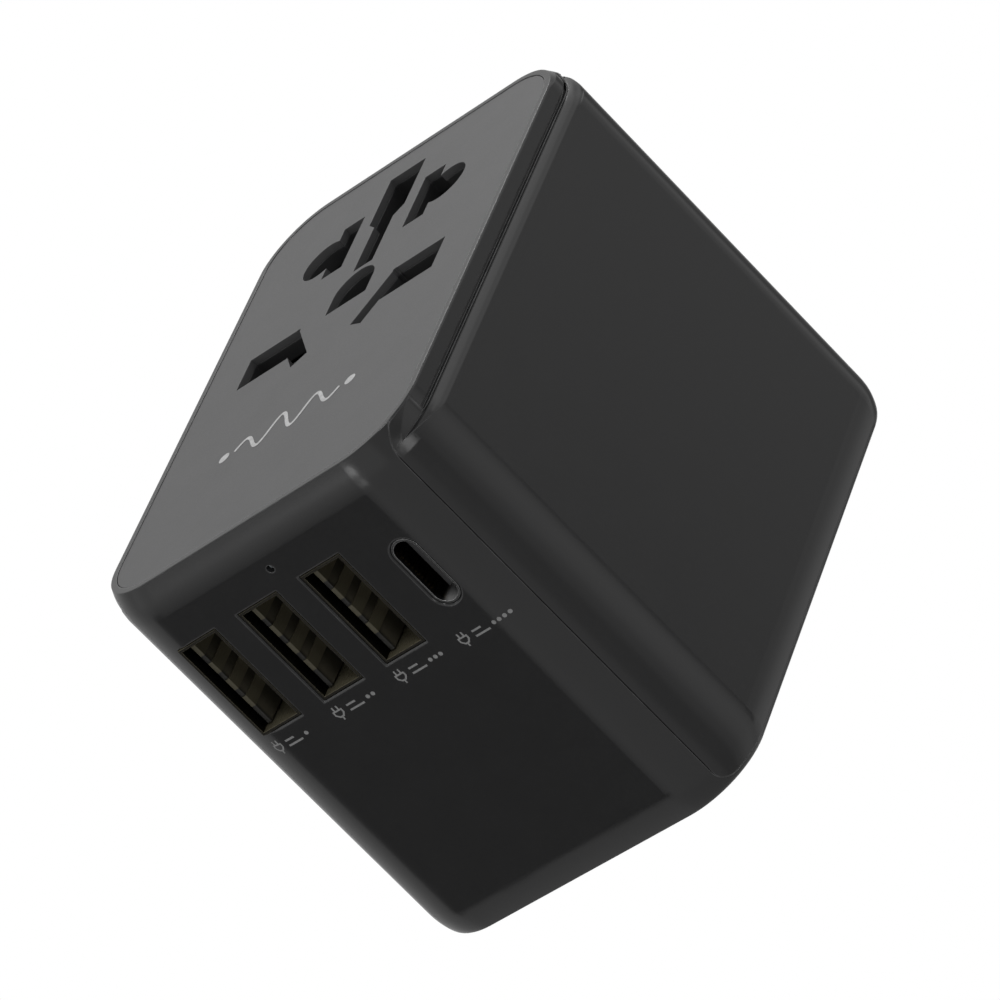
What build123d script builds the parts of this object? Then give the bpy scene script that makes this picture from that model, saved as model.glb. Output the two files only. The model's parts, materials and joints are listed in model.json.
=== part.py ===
from build123d import *
import os
from math import cos, radians, sin, sqrt

# Universal travel adapter, all sizes in millimetres.
# Frame: the origin is the centre of the plug face, +Z runs from the plug face to the socket face,
# -Y is the side that holds the charging ports and -X is the side that holds the plug slides.

# ---- driving dimensions -------------------------------------------------------------------------
HEIGHT = 53.6

# Outline of the body, and of the narrower rim it thins out to at both ends.
BODY_X, BODY_Y, NEAR_R, FAR_R = 47.4, 70.2, 8.8, 7.5
RIM_X, RIM_Y, RIM_R = 45.0, 68.6, 7.8
SOFT = 4.1
WALL = 1.8
BORDER = 0.8
GAP = 0.08

# Side panels, which lie flush in pockets of the body and wrap its corners.
PANEL_T = 1.1
PANEL_SINK = 0.02
PANEL_REAR, PANEL_FRONT = 0.7, HEIGHT - 0.15
PANEL_LAP, LAP_ROOT = 35.3, 5.0
PANEL_EDGE_R = 0.2
REAR_CORNER_R, FRONT_CORNER_R, FRONT_CORNER_RISE = 2.0, 4.8, 1.0
RECESS_Z, RECESS_R = HEIGHT - 2.3, 1.5
GROOVE_T, GROOVE_X = 0.5, 22.15
CHANNEL_Y, CHANNEL_R, CHANNEL_TURN = 26.5, 12.0, 62

# Socket face.
PLATE_T = 0.85
COVER_T = 2.6
EU_PITCH, US_PITCH, UK_PITCH = 19.0, 12.7, 22.2
UPPER_Y, LINE_Y, GROUND_Y, EARTH_Y = 19.3, 2.3, 7.4, 24.7

# Charging ports on the -Y side.
PORT_PITCH = 9.3
PORT_FIRST_X = -14.6
PORT_Z = HEIGHT - 14.7
USB_A_W, USB_A_H = 5.7, 13.1
USB_C_W, USB_C_H = 3.4, 9.0
PORT_FRONT = -34.95
PORT_FLARE, PORT_FLARE_T = 0.25, 0.15
USB_A_CONTACTS = (-2.7, -0.1, 2.5, 5.1)
TONGUE_X, TONGUE_Z, TONGUE_FRONT = (-2.05, -1.5), 6.0, -33.9
STRIP_W, STRIP_T = 1.5, 0.15
USB_C_SHEET = 0.25
USB_C_TONGUE_FRONT = -33.4
BOARD_Y, BOARD_T = -20.2, 1.4
SHEET = 0.3
LAMP_X, LAMP_Z, LAMP_R = -0.7, HEIGHT - 5.6, 0.45

# Plug carriages, which slide towards -Z, and the pins they carry.
CAP_T = 1.8
CARRIAGE_Z, CARRIAGE_T, CARRIAGE_X = 25.0, 5.0, 18.4
TIP_Z = 0.3
EU_Y, US_Y, UK_Y = -22.0, -11.0, 0.0
UK_EARTH_Y = UK_Y + 22.2
EU_TRAVEL, US_TRAVEL, UK_TRAVEL = 19.3, 17.4, 22.9
EU_PIN_R, EU_CORE_R = 2.4, 1.95
BLADE_T, BLADE_W, US_TWIST = 1.5, 6.35, 30
HUB_R, FLANGE_R, FLANGE_Z = 3.55, 4.15, 28.2
UK_PIN_W, UK_PIN_T, UK_CORE_W, UK_CORE_T = 6.35, 4.0, 5.4, 3.1
UK_TIP_Z, UK_SLEEVE_Z = 5.5, 13.4
UK_EARTH_W, UK_EARTH_T = 8.0, 4.0
FIT = 0.02
RUN = 0.05

# Slide knobs on the -X side.
KNOB_Z, KNOB_LOW, KNOB_HIGH, KNOB_W = 28.4, 1.6, 5.4, 7.6
STEM_Y, STEM_Z, STEM_PLAY = 3.0, 2.8, 0.2
WINDOW_Y0, WINDOW_Y1, WINDOW_Z0, WINDOW_Z1 = -26.6, 4.6, 3.7, 34.6

# Inner parts.
FRAME_Z, FRAME_T, CHEEK_X, CHEEK_Y, CHEEK_T = 30.8, 1.5, 20.6, 26.7, 0.75
RAIL_X, RAIL_T = 19.0, 0.7
EARTH_RAIL_X, EARTH_RAIL_Y0, EARTH_RAIL_Y1 = 4.6, 23.0, 27.0
CARRIER_Z, CARRIER_T, CARRIER_X = 32.4, 1.8, 18.8
CONTACT_Z, CONTACT_T, LEAF_T, LEAF_TOP = 34.2, 0.6, 0.4, 45.5
SHUTTER_Z, SHUTTER_T, SHUTTER_END = 49.2, 1.6, 20.0
SPRING_X, SPRING_R, SPRING_WIRE = 16.3, 0.8, 0.13
STOP_Y = 31.0
FUSE_Y, FUSE_Z, FUSE_R = -9.6, 35.6, 2.6
CAN_R, SMALL_CAN_R = 4.0, 3.0
SCREW_X, SCREW_Y, SCREW_R, SCREW_HEAD_R, SCREW_SEAT = 17.2, 29.8, 1.25, 2.2, 1.2

# ---- derived dimensions -------------------------------------------------------------------------
CORE_X, CORE_Y = BODY_X - 2 * PANEL_T, BODY_Y - 2 * PANEL_T
INNER_X, INNER_Y, INNER_R = CORE_X - 2 * WALL, BODY_Y - 2 * WALL, 6.6
INSET_X, INSET_Y, INSET_R = RIM_X - 2 * BORDER, RIM_Y - 2 * BORDER, RIM_R - BORDER
COVER_Z = HEIGHT - COVER_T
CARRIAGE_TOP = CARRIAGE_Z + CARRIAGE_T
SIDES = (-1, 1)
SLIDES = ((EU_Y, EU_TRAVEL), (US_Y, US_TRAVEL), (UK_Y, UK_TRAVEL))

os.makedirs("parts", exist_ok=True)


def save(builder, node):
    """Names a finished piece and writes it."""
    builder.part.label = node
    export_step(builder.part, f"parts/{node}.step")


def bar(x, y, z, mode=Mode.ADD):
    """A block from its (low, high) span on each axis, added to or cut from the piece being built."""
    with Locations(((x[0] + x[1]) / 2, (y[0] + y[1]) / 2, (z[0] + z[1]) / 2)):
        Box(x[1] - x[0], y[1] - y[0], z[1] - z[0], mode=mode)


def span(middle, half):
    """The (low, high) span of a given half width about its middle."""
    return (middle - half, middle + half)


# ---- housing ------------------------------------------------------------------------------------
def outline(z, x, y, near_r, far_r):
    """Rectangle of x by y at height z, with corners of near_r at the -Y end and far_r at the +Y end."""
    with BuildSketch(Plane.XY.offset(z)) as shape:
        Rectangle(x, y)
        fillet(shape.vertices().group_by(Axis.Y)[0], near_r)
        fillet(shape.vertices().group_by(Axis.Y)[-1], far_r)
    return shape.sketch


def body_outline(z, share_x, share_y):
    """Outline of the body at height z, thinned towards the rim by a share along X and another along Y."""
    return outline(
        z,
        BODY_X + share_x * (RIM_X - BODY_X),
        BODY_Y + share_y * (RIM_Y - BODY_Y),
        NEAR_R + share_y * (RIM_R - NEAR_R),
        FAR_R + share_y * (RIM_R - FAR_R),
    )


def inset_outline(z, gap):
    """Outline of the opening inside a rim at height z, or of its filling with a gap all round."""
    with BuildSketch(Plane.XY.offset(z)) as opening:
        RectangleRounded(INSET_X - 2 * gap, INSET_Y - 2 * gap, INSET_R - gap)
    return opening.sketch


SOFT_STEPS = (0, 0.3, 0.55, 0.75, 0.9, 1)
with BuildPart() as body:
    loft([body_outline(SOFT * (1 - t), 1 - sqrt(1 - t**2), t**2) for t in reversed(SOFT_STEPS)])
    extrude(body_outline(SOFT, 0, 0), amount=HEIGHT - 2 * SOFT)
    loft([body_outline(HEIGHT - SOFT * (1 - t), t**2, t**2) for t in SOFT_STEPS])

with BuildPart() as core:
    extrude(outline(0, CORE_X, CORE_Y, NEAR_R - PANEL_T, FAR_R - PANEL_T), amount=HEIGHT)


def corner_point(radius, side):
    """Point on the lap line of a corner, at a radius from the corner's centre."""
    corner_r = NEAR_R if side < 0 else FAR_R
    lap = radians(PANEL_LAP)
    return (
        BODY_X / 2 - corner_r + radius * sin(lap),
        side * (BODY_Y / 2 - corner_r + radius * cos(lap)),
    )


def corner_arc(side, outset):
    """Arc of a corner from its lap line to the long side, with the body's outline grown by outset."""
    corner_r = NEAR_R if side < 0 else FAR_R
    arc_r = corner_r + outset
    half_turn = radians((90 + PANEL_LAP) / 2)
    middle = (
        BODY_X / 2 - corner_r + arc_r * sin(half_turn),
        side * (BODY_Y / 2 - corner_r + arc_r * cos(half_turn)),
    )
    long_side = (BODY_X / 2 + outset, side * (BODY_Y / 2 - corner_r))
    ThreePointArc(corner_point(arc_r, side), middle, long_side)
    return long_side


def panel_blank(outset):
    """Block of the right side between the lap lines, its ends rounded off where they meet them."""
    with BuildPart() as blank:
        with BuildSketch(Plane.XY.offset(PANEL_REAR)):
            with BuildLine():
                Line(corner_arc(-1, outset), corner_arc(1, outset))
                Polyline(
                    corner_point(FAR_R + outset, 1),
                    corner_point(LAP_ROOT, 1),
                    corner_point(LAP_ROOT, -1),
                    corner_point(NEAR_R + outset, -1),
                )
            make_face()
        extrude(amount=HEIGHT + FRONT_CORNER_RISE - PANEL_REAR)
        lap_faces = [
            face
            for face in blank.faces().filter_by(GeomType.PLANE)
            if abs(face.normal_at().Z) < 0.1 and abs(face.center().Y) > BODY_Y / 2 - NEAR_R
        ]
        lap_corners = ShapeList(
            edge for face in lap_faces for edge in face.edges().filter_by(Axis.Z, reverse=True)
        ).group_by(Axis.Z)
        fillet(lap_corners[-1], FRONT_CORNER_R)
        fillet(lap_corners[0], REAR_CORNER_R)
    return blank.part


with BuildPart() as pocket:
    add(panel_blank(WALL))
    bar((0, BODY_X), span(0, BODY_Y), (PANEL_FRONT, HEIGHT + 1), Mode.SUBTRACT)
    add(core.part, mode=Mode.SUBTRACT)


def channel(points, arc_r=0):
    """Cutter for a channel along the right side. It bends less than the corners and runs out in them."""
    with BuildPart() as cutter:
        for side in SIDES:
            with BuildSketch(Plane.XZ.offset(-side * CHANNEL_Y)) as profile:
                with BuildLine():
                    Polyline(points)
                    if arc_r:
                        RadiusArc(points[-1], points[0], arc_r)
                    else:
                        Line(points[-1], points[0])
                make_face()
            bend = Axis((RIM_X / 2 - CHANNEL_R, side * CHANNEL_Y, 0), (0, 0, side))
            revolve(axis=bend, revolution_arc=CHANNEL_TURN)
        extrude(profile.sketch, amount=2 * CHANNEL_Y)
    return cutter.part


groove = channel(
    [
        (GROOVE_X, RECESS_Z),
        (BODY_X / 2 + 1, RECESS_Z),
        (BODY_X / 2 + 1, RECESS_Z + GROOVE_T),
        (GROOVE_X, RECESS_Z + GROOVE_T),
    ]
)
PORT_SIDE = Plane.XZ.offset(BODY_Y / 2)
PORT_XS = [PORT_FIRST_X + PORT_PITCH * index for index in range(4)]
USB_A_XS, USB_C_X = PORT_XS[:3], PORT_XS[3]


def port_windows(plane, grow):
    """The four port windows, the shells' outlines grown all round."""
    with BuildSketch(plane) as windows:
        with Locations([(x, PORT_Z) for x in USB_A_XS]):
            Rectangle(USB_A_W + 2 * grow, USB_A_H + 2 * grow)
        with Locations((USB_C_X, PORT_Z)):
            SlotOverall(USB_C_H + 2 * grow, USB_C_W + 2 * grow, rotation=90)
    return windows.sketch


def stem_slots(x, play):
    """Cuts the vertical slots in which the knob stems travel, over an x span."""
    for slide_y, travel in SLIDES:
        bar(
            x,
            span(slide_y, STEM_Y / 2 + play),
            (KNOB_Z - STEM_Z / 2 - play - travel, KNOB_Z + STEM_Z / 2 + play),
            Mode.SUBTRACT,
        )


with BuildPart() as main_housing:
    add(body.part)
    add(pocket.part, mode=Mode.SUBTRACT)
    mirror(pocket.part, about=Plane.YZ, mode=Mode.SUBTRACT)
    with BuildSketch() as bore:
        RectangleRounded(INNER_X, INNER_Y, INNER_R)
    extrude(amount=HEIGHT, mode=Mode.SUBTRACT)
    extrude(inset_outline(0, 0), amount=CAP_T + GAP, mode=Mode.SUBTRACT)
    extrude(inset_outline(COVER_Z - GAP, 0), amount=COVER_T + GAP, mode=Mode.SUBTRACT)
    # Screw bosses in the four corners, joined to the wall.
    with BuildSketch(Plane.XY.offset(CAP_T + GAP)):
        with GridLocations(2 * SCREW_X, 2 * SCREW_Y, 2, 2):
            Circle(2.6)
            Circle(SCREW_R + RUN, mode=Mode.SUBTRACT)
    extrude(amount=12.0)
    # Port windows with a flared edge, and the lamp's pinhole.
    extrude(port_windows(PORT_SIDE, 0.1), amount=-2 * WALL, mode=Mode.SUBTRACT)
    extrude(port_windows(PORT_SIDE, PORT_FLARE), amount=-PORT_FLARE_T, taper=45, mode=Mode.SUBTRACT)
    with BuildSketch(PORT_SIDE):
        with Locations((LAMP_X, LAMP_Z)):
            Circle(LAMP_R)
    extrude(amount=-2 * WALL, mode=Mode.SUBTRACT)
    stem_slots((-CORE_X / 2 - 1, -INNER_X / 2 + 1), STEM_PLAY)
    # Shadow groove between the front rim and each side panel.
    add(groove, mode=Mode.SUBTRACT)
    mirror(groove, about=Plane.YZ, mode=Mode.SUBTRACT)
save(main_housing, "main_housing")


# ---- side panels --------------------------------------------------------------------------------
def free_edges(faces):
    """Edges that belong to only one of the faces, which are the border of the group."""
    edges = [edge for face in faces for edge in face.edges()]
    return [edge for edge in edges if sum(edge == other for other in edges) == 1]


with BuildPart() as right_panel:
    add(panel_blank(-PANEL_SINK))
    skin = right_panel.faces().filter_by(lambda face: abs(face.normal_at().Z) < 0.1 and face.area > 300)
    skin = skin.sort_by(Axis.X)[-3:]
    fillet(free_edges(skin), PANEL_EDGE_R)
    add(body.part, mode=Mode.INTERSECT)
    bar((0, BODY_X), span(0, BODY_Y), (PANEL_FRONT, HEIGHT + 1), Mode.SUBTRACT)
    # Recess that bares the rim, rounded where it meets the panel.
    recess = [
        (BODY_X / 2, RECESS_Z - RECESS_R),
        (BODY_X / 2 + 1, RECESS_Z - RECESS_R),
        (BODY_X / 2 + 1, HEIGHT + 1),
        (RIM_X / 2, HEIGHT + 1),
        (RIM_X / 2, RECESS_Z),
        (BODY_X / 2 - RECESS_R, RECESS_Z),
    ]
    add(channel(recess, RECESS_R), mode=Mode.SUBTRACT)
    add(core.part, mode=Mode.SUBTRACT)
save(right_panel, "right_panel")

with BuildPart() as left_panel:
    mirror(right_panel.part, about=Plane.YZ)
    # Window round the slide knobs.
    with BuildSketch(Plane.YZ.offset(-CORE_X / 2)):
        with Locations(((WINDOW_Y0 + WINDOW_Y1) / 2, (WINDOW_Z0 + WINDOW_Z1) / 2)):
            RectangleRounded(WINDOW_Y1 - WINDOW_Y0, WINDOW_Z1 - WINDOW_Z0, 1.6)
    extrude(amount=-3.0, mode=Mode.SUBTRACT)
save(left_panel, "left_panel")


# ---- socket face --------------------------------------------------------------------------------
def socket_apertures(z):
    """Pin apertures of the socket, as a sketch at height z."""
    with BuildSketch(Plane.XY.offset(z)) as apertures:
        # Earth slot: a wide part, a sloping step and a narrow part, with a round earth hole below it.
        with BuildLine():
            Polyline(
                (-2.75, EARTH_Y + 4.6),
                (2.75, EARTH_Y + 4.6),
                (2.75, EARTH_Y - 4.0),
                (1.45, EARTH_Y - 5.3),
                (1.45, EARTH_Y - 13.5),
                (-1.5, EARTH_Y - 13.5),
                (-1.5, EARTH_Y - 5.3),
                (-2.75, EARTH_Y - 4.0),
                close=True,
            )
        make_face()
        with Locations((0, GROUND_Y)):
            Circle(3.1)
        with Locations((0, GROUND_Y - 1.55)):
            Rectangle(6.2, 3.1)
        for side in SIDES:
            with Locations((side * EU_PITCH / 2, UPPER_Y)):
                Circle(3.0)
            with Locations((side * US_PITCH / 2, UPPER_Y)):
                Rectangle(3.2, 9.45)
            with Locations((side * UK_PITCH / 2, LINE_Y)):
                Rectangle(7.9, 5.5)
            with Locations((side * 6.45, LINE_Y - 1.35)):
                Rectangle(2.4, 8.4, rotation=-side * US_TWIST)
    return apertures.sketch


with BuildPart() as face_plate:
    extrude(inset_outline(HEIGHT - RUN, GAP), amount=-PLATE_T)
    extrude(socket_apertures(HEIGHT), amount=-2 * PLATE_T, mode=Mode.SUBTRACT)
save(face_plate, "face_plate")

with BuildPart() as socket_cover:
    extrude(inset_outline(COVER_Z, GAP), amount=COVER_T - PLATE_T - RUN)
    extrude(socket_apertures(COVER_Z), amount=COVER_T, mode=Mode.SUBTRACT)
    # Guide ribs on both sides of the shutter, and the stops for its springs.
    for side in SIDES:
        bar(span(side * 18.25, 0.5), (-6.0, STOP_Y), (SHUTTER_Z - 0.3, COVER_Z))
        bar(span(side * SPRING_X, 1.4), (STOP_Y, STOP_Y + 0.8), (SHUTTER_Z - 0.3, COVER_Z))
save(socket_cover, "socket_cover")


# ---- plug face ----------------------------------------------------------------------------------
with BuildPart() as rear_cap:
    extrude(inset_outline(0, GAP), amount=CAP_T)
    with BuildSketch() as pin_holes:
        with Locations((-EU_PITCH / 2, EU_Y), (EU_PITCH / 2, EU_Y)):
            Circle(EU_PIN_R + 0.2)
        for side in SIDES:
            # A blade's opening lets it twist, so it is its slot turned in small steps.
            for turn in range(0, US_TWIST + 1, 10):
                with Locations((side * US_PITCH / 2, US_Y)):
                    Rectangle(BLADE_T + 0.4, BLADE_W + 0.4, rotation=-side * turn)
            with Locations((side * UK_PITCH / 2, UK_Y)):
                Rectangle(UK_PIN_W + 0.4, UK_PIN_T + 0.4)
        with Locations((0, UK_EARTH_Y)):
            Rectangle(UK_EARTH_T + 0.4, UK_EARTH_W + 0.4)
    extrude(amount=CAP_T, mode=Mode.SUBTRACT)
    with Locations(Plane.XY.rotated((180, 0, 0))):
        with GridLocations(2 * SCREW_X, 2 * SCREW_Y, 2, 2):
            CounterBoreHole(SCREW_R + 0.2, SCREW_HEAD_R + 0.2, SCREW_SEAT)
save(rear_cap, "rear_cap")

with BuildPart() as cap_screws:
    with BuildSketch(Plane.XY.offset(SCREW_SEAT)):
        with GridLocations(2 * SCREW_X, 2 * SCREW_Y, 2, 2):
            Circle(SCREW_HEAD_R)
    extrude(amount=-1.0)
    with BuildSketch(Plane.XY.offset(SCREW_SEAT)):
        with GridLocations(2 * SCREW_X, 2 * SCREW_Y, 2, 2):
            Circle(SCREW_R)
    extrude(amount=9.0)
    # Cross recesses.
    with BuildSketch(Plane.XY.offset(SCREW_SEAT - 1.0)):
        with GridLocations(2 * SCREW_X, 2 * SCREW_Y, 2, 2):
            Rectangle(2.4, 0.6)
            Rectangle(0.6, 2.4)
    extrude(amount=0.7, mode=Mode.SUBTRACT)
save(cap_screws, "cap_screws")


# ---- carriage guide and power rails -------------------------------------------------------------
with BuildPart() as guide_frame:
    with BuildSketch(Plane.XY.offset(FRAME_Z)):
        RectangleRounded(2 * CHEEK_X, 61.0, 6.2)
    extrude(amount=FRAME_T)
    for side in SIDES:
        bar(
            sorted((side * CHEEK_X, side * (CHEEK_X - CHEEK_T))),
            span(0, CHEEK_Y),
            (CAP_T + GAP, FRAME_Z),
        )
        rail_slot_x = span(side * (RAIL_X + RAIL_T / 2), RAIL_T / 2 + RUN)
        bar(rail_slot_x, (-27.0, 4.5), (FRAME_Z, 33.0), Mode.SUBTRACT)
    bar(
        span(EARTH_RAIL_X + 0.3, 0.4),
        (EARTH_RAIL_Y0 - 0.2, EARTH_RAIL_Y1 + 0.2),
        (FRAME_Z, 33.0),
        Mode.SUBTRACT,
    )
    bar(span(0, 2.3), span(EARTH_Y, 4.4), (FRAME_Z, 33.0), Mode.SUBTRACT)
    stem_slots((-CHEEK_X - 1, -CHEEK_X + 1), STEM_PLAY + 0.1)
save(guide_frame, "guide_frame")

RAIL_SPAN = (RAIL_X, RAIL_X + RAIL_T)
with BuildPart() as live_rail:
    bar(RAIL_SPAN, (-26.5, 4.0), (2.5, FRAME_Z + FRAME_T))
    bar(RAIL_SPAN, (-6.0, 4.0), (FRAME_Z + FRAME_T, CONTACT_Z + 2.0))
save(live_rail, "live_rail")

with BuildPart() as neutral_rail:
    mirror(live_rail.part, about=Plane.YZ)
    stem_slots((-RAIL_X - 1, -RAIL_X + 1), STEM_PLAY + 0.1)
save(neutral_rail, "neutral_rail")

with BuildPart() as earth_rail:
    bar(
        (EARTH_RAIL_X, EARTH_RAIL_X + CONTACT_T),
        (EARTH_RAIL_Y0, EARTH_RAIL_Y1),
        (2.5, CONTACT_Z + 2.0),
    )
save(earth_rail, "earth_rail")


# ---- socket contacts ----------------------------------------------------------------------------
with BuildPart() as contact_carrier:
    bar(span(0, CARRIER_X), (-6.5, 31.5), (CARRIER_Z, CARRIER_Z + CARRIER_T))
    for side in SIDES:
        bar(span(side * 3.9, 0.3), (3.0, 31.0), (CONTACT_Z, SHUTTER_Z - 0.1))
        bar(span(side * 11.0, 7.0), (30.7, 31.5), (CONTACT_Z, SHUTTER_Z - 0.6))
    bar(
        (3.0, EARTH_RAIL_X + CONTACT_T + 0.1),
        (EARTH_RAIL_Y0 - 0.2, EARTH_RAIL_Y1 + 0.2),
        (CARRIER_Z, CONTACT_Z + CONTACT_T + 0.1),
        Mode.SUBTRACT,
    )
    bar(span(0, 2.3), span(EARTH_Y, 4.4), (CARRIER_Z, CONTACT_Z), Mode.SUBTRACT)
    bar(span(0, 2.6), span(GROUND_Y, 2.6), (CARRIER_Z, CONTACT_Z), Mode.SUBTRACT)
save(contact_carrier, "contact_carrier")

BASE_SPAN = (CONTACT_Z, CONTACT_Z + CONTACT_T)
LEAF_SPAN = (CONTACT_Z, LEAF_TOP)
with BuildPart() as live_contact:
    bar((15.6, RAIL_X - RUN), (-0.8, 21.8), BASE_SPAN)
    bar((8.4, 15.6), (-0.8, 5.4), BASE_SPAN)
    bar((5.1, 15.6), span(UPPER_Y, 2.5), BASE_SPAN)
    # Leaves that grip the pins: a pair along X for the flat line pins, a pair along Y for the others.
    for side in SIDES:
        bar((9.0, 13.8), span(LINE_Y + side * (2.1 + LEAF_T / 2), LEAF_T / 2), LEAF_SPAN)
    bar((5.1, 5.1 + LEAF_T), span(UPPER_Y, 2.5), LEAF_SPAN)
    bar((12.0, 12.0 + LEAF_T), span(UPPER_Y, 2.5), LEAF_SPAN)
save(live_contact, "live_contact")

with BuildPart() as neutral_contact:
    mirror(live_contact.part, about=Plane.YZ)
save(neutral_contact, "neutral_contact")

with BuildPart() as earth_contact:
    bar(span(0, 3.4), (GROUND_Y - 3.3, EARTH_Y + 4.9), BASE_SPAN)
    bar((3.3, EARTH_RAIL_X - RUN), (EARTH_RAIL_Y0, EARTH_RAIL_Y1), BASE_SPAN)
    bar(span(0, 2.1), span(EARTH_Y, 4.3), BASE_SPAN, Mode.SUBTRACT)
    bar(span(0, 2.5), span(GROUND_Y, 2.5), BASE_SPAN, Mode.SUBTRACT)
    for side in SIDES:
        bar(span(side * (2.1 + LEAF_T / 2), LEAF_T / 2), span(EARTH_Y, 3.2), LEAF_SPAN)
        bar(span(0, 2.0), span(GROUND_Y + side * (2.5 + LEAF_T / 2), LEAF_T / 2), LEAF_SPAN)
save(earth_contact, "earth_contact")

# Shutter: two legs joined by a bar, with a pad under each line and neutral aperture.
with BuildPart() as shutter:
    shutter_span = (SHUTTER_Z, SHUTTER_Z + SHUTTER_T)
    bar(span(0, 17.6), (-5.6, -3.6), shutter_span)
    for side in SIDES:
        bar(span(side * 16.3, 1.3), (-5.6, SHUTTER_END), shutter_span)
        bar(span(side * 11.1, 4.2), (-0.8, 5.4), shutter_span)
        bar(span(side * 9.8, 5.3), (15.9, 22.9), shutter_span)
    ramps = shutter.edges().filter_by(Axis.X).group_by(Axis.Z)[-1]
    chamfer(ramps, 0.6)
    # Spigots that hold the springs.
    with BuildSketch(Plane.XZ.offset(-SHUTTER_END)):
        with Locations(*[(side * SPRING_X, SHUTTER_Z + SHUTTER_T / 2) for side in SIDES]):
            Circle(0.6)
    extrude(amount=-2.4)
save(shutter, "shutter")


def coil(x):
    """One spring of the shutter, wound along Y between the leg's end and its stop."""
    end_gap = 2 * SPRING_WIRE
    start = (x, SHUTTER_END + end_gap, SHUTTER_Z + SHUTTER_T / 2)
    length = STOP_Y - SHUTTER_END - 2 * end_gap
    with BuildPart() as spring:
        with BuildLine():
            turns = Helix(length / 6, length, SPRING_R, center=start, direction=(0, 1, 0))
        with BuildSketch(Plane(turns @ 0, z_dir=turns % 0)):
            Circle(SPRING_WIRE)
        sweep()
    return spring.part


with BuildPart() as shutter_springs:
    add(coil(-SPRING_X))
    add(coil(SPRING_X))
save(shutter_springs, "shutter_springs")


# ---- plug slides --------------------------------------------------------------------------------
def knob(slide_y, node):
    """Slide knob: a stem through the wall and a ribbed thumb pad in the panel's window."""
    with BuildPart() as piece:
        bar((-CORE_X / 2 - 0.5, -CARRIAGE_X), span(slide_y, STEM_Y / 2), span(KNOB_Z, STEM_Z / 2))
        pad_z = (KNOB_Z - KNOB_LOW, KNOB_Z + KNOB_HIGH)
        pad_middle = (pad_z[0] + pad_z[1]) / 2
        with BuildSketch(Plane.YZ.offset(-CORE_X / 2 - GAP)):
            with Locations((slide_y, pad_middle)):
                RectangleRounded(KNOB_W, pad_z[1] - pad_z[0], 1.6)
        extrude(amount=-(PANEL_T - GAP))
        thumb_edges = piece.faces().sort_by(Axis.X)[0].edges()
        fillet(thumb_edges, 0.35)
        # Grip grooves across the pad.
        for step in range(-2, 3):
            bar(
                (-BODY_X / 2 - 1, -BODY_X / 2 + 0.35),
                span(slide_y, KNOB_W / 2 - 1.4),
                span(pad_middle + 1.1 * step, 0.25),
                Mode.SUBTRACT,
            )
    save(piece, node)


def wipers(slide_y, inner_x, node):
    """The pair of strips on a carriage that lead from its pins to the power rails."""
    with BuildPart() as piece:
        for side in SIDES:
            top = (CARRIAGE_TOP, CARRIAGE_TOP + LEAF_T)
            bar(sorted((side * inner_x, side * (CARRIAGE_X + 0.5))), (slide_y + 1.9, slide_y + 3.2), top)
            bar(
                sorted((side * (CARRIAGE_X + FIT), side * (CARRIAGE_X + 0.5))),
                (slide_y + 1.9, slide_y + 3.2),
                (CARRIAGE_Z + 0.5, CARRIAGE_TOP),
            )
    save(piece, node)


for plug, plug_y, strip_x in (("eu", EU_Y, 10.0), ("us", US_Y, 11.6), ("uk", UK_Y, 12.0)):
    knob(plug_y, f"{plug}_knob")
    wipers(plug_y, strip_x, f"{plug}_wipers")

CARRIAGE_SPAN = (CARRIAGE_Z, CARRIAGE_TOP)
EU_XS = [side * EU_PITCH / 2 for side in SIDES]
UK_XS = [side * UK_PITCH / 2 for side in SIDES]

with BuildPart() as eu_carriage:
    bar(span(0, CARRIAGE_X), span(EU_Y, 4.0), CARRIAGE_SPAN)
    with BuildSketch(Plane.XY.offset(CARRIAGE_Z)):
        with Locations(*[(x, EU_Y) for x in EU_XS]):
            Circle(EU_CORE_R + FIT)
    extrude(amount=CARRIAGE_T, mode=Mode.SUBTRACT)
save(eu_carriage, "eu_carriage")

SLEEVE_Z = 9.5
with BuildPart() as eu_pins:
    with BuildSketch(Plane.XY.offset(TIP_Z)):
        with Locations(*[(x, EU_Y) for x in EU_XS]):
            Circle(EU_PIN_R)
    extrude(amount=SLEEVE_Z - TIP_Z)
    fillet(eu_pins.edges().group_by(Axis.Z)[0], 1.6)
    with BuildSketch(Plane.XY.offset(SLEEVE_Z)):
        with Locations(*[(x, EU_Y) for x in EU_XS]):
            Circle(EU_CORE_R)
    extrude(amount=CARRIAGE_TOP - SLEEVE_Z)
save(eu_pins, "eu_pins")

with BuildPart() as eu_sleeves:
    with BuildSketch(Plane.XY.offset(SLEEVE_Z + FIT)):
        with Locations(*[(x, EU_Y) for x in EU_XS]):
            Circle(EU_PIN_R)
            Circle(EU_CORE_R + FIT, mode=Mode.SUBTRACT)
    extrude(amount=CARRIAGE_Z - SLEEVE_Z - FIT)
save(eu_sleeves, "eu_sleeves")

with BuildPart() as us_carriage:
    bar(span(0, CARRIAGE_X), span(US_Y, 5.0), CARRIAGE_SPAN)
    for bore_r, low in ((HUB_R + RUN, CARRIAGE_Z), (FLANGE_R + 2 * RUN, FLANGE_Z - RUN)):
        with BuildSketch(Plane.XY.offset(low)):
            with Locations(*[(side * US_PITCH / 2, US_Y) for side in SIDES]):
                Circle(bore_r)
        extrude(amount=CARRIAGE_TOP - low, mode=Mode.SUBTRACT)
save(us_carriage, "us_carriage")

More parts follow.
